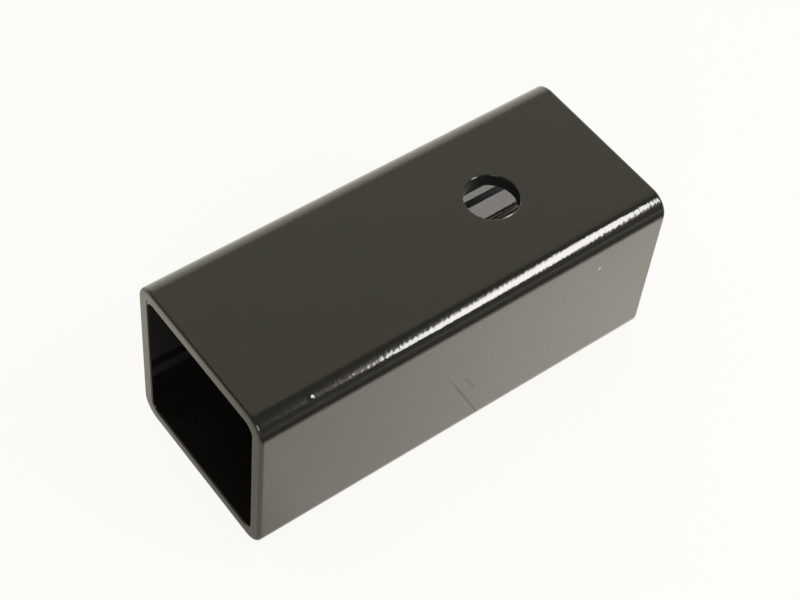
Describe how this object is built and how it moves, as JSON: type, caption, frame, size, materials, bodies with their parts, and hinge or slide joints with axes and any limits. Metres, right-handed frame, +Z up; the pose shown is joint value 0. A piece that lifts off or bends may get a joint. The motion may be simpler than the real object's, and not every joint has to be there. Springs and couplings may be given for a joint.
{
  "type": "hitch receiver tube",
  "caption": "Square steel tube, open at both ends, with a cross-pin hole near one end; takes a square hitch shank and locks it with a pin.",
  "frame": {"origin": "middle of the underside, where the tube rests", "axes": "+X along the tube from the plain end to the pin end, +Z up along the cross pin, +Y to the left seen from the plain end"},
  "size_m": [0.15, 0.0636, 0.0635],
  "materials": {
    "black_paint": "gloss black paint on steel, with a slight orange peel"
  },
  "bodies": {
    "root": {"receiver_tube": "black_paint"}
  },
  "joints": []
}
